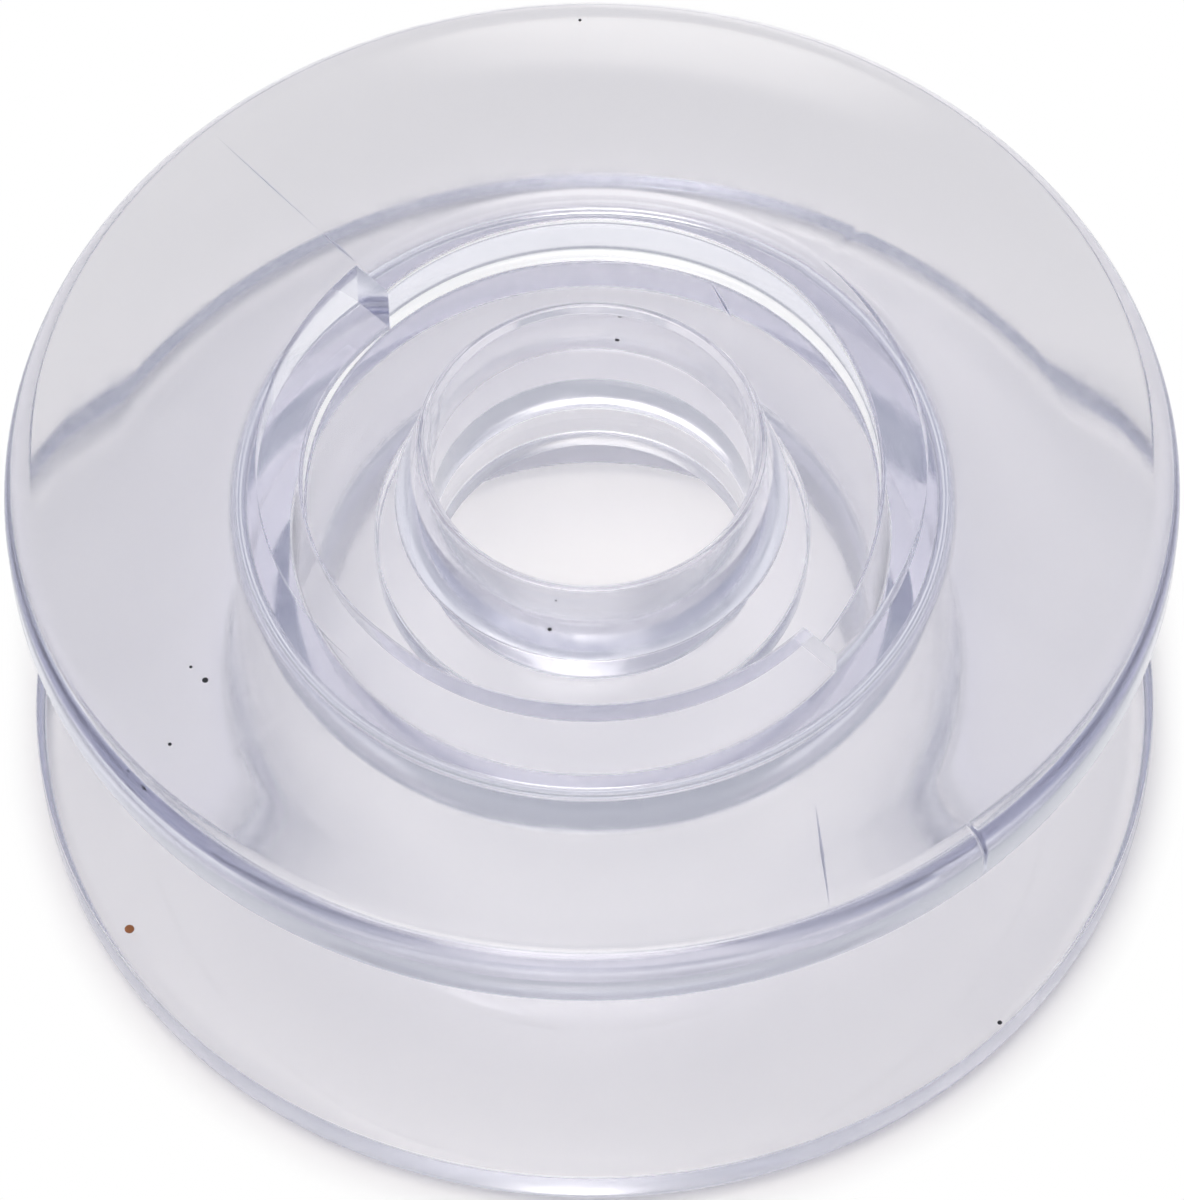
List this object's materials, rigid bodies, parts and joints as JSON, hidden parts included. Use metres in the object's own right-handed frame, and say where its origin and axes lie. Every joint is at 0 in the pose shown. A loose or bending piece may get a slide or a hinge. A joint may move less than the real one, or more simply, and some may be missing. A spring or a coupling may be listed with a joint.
{
  "type": "sewing machine bobbin",
  "caption": "Clear moulded bobbin for a sewing machine: round flanged spool with a hollow drum, a centre bore in a raised collar and driving ramps round it.",
  "frame": {"origin": "middle of the lower flange's face, on the axis", "axes": "+Z along the axis, from the lower flange to the flange with the driving ramps; -Y towards the camera of the picture, so the ramps' steps are at the back left and the front right"},
  "size_m": [0.0205, 0.0204, 0.0088],
  "materials": {
    "clear_plastic": "clear moulded plastic with a faint blue-lavender tint in the thick sections, polished faces"
  },
  "bodies": {
    "root": {"bobbin": "clear_plastic"}
  },
  "joints": []
}
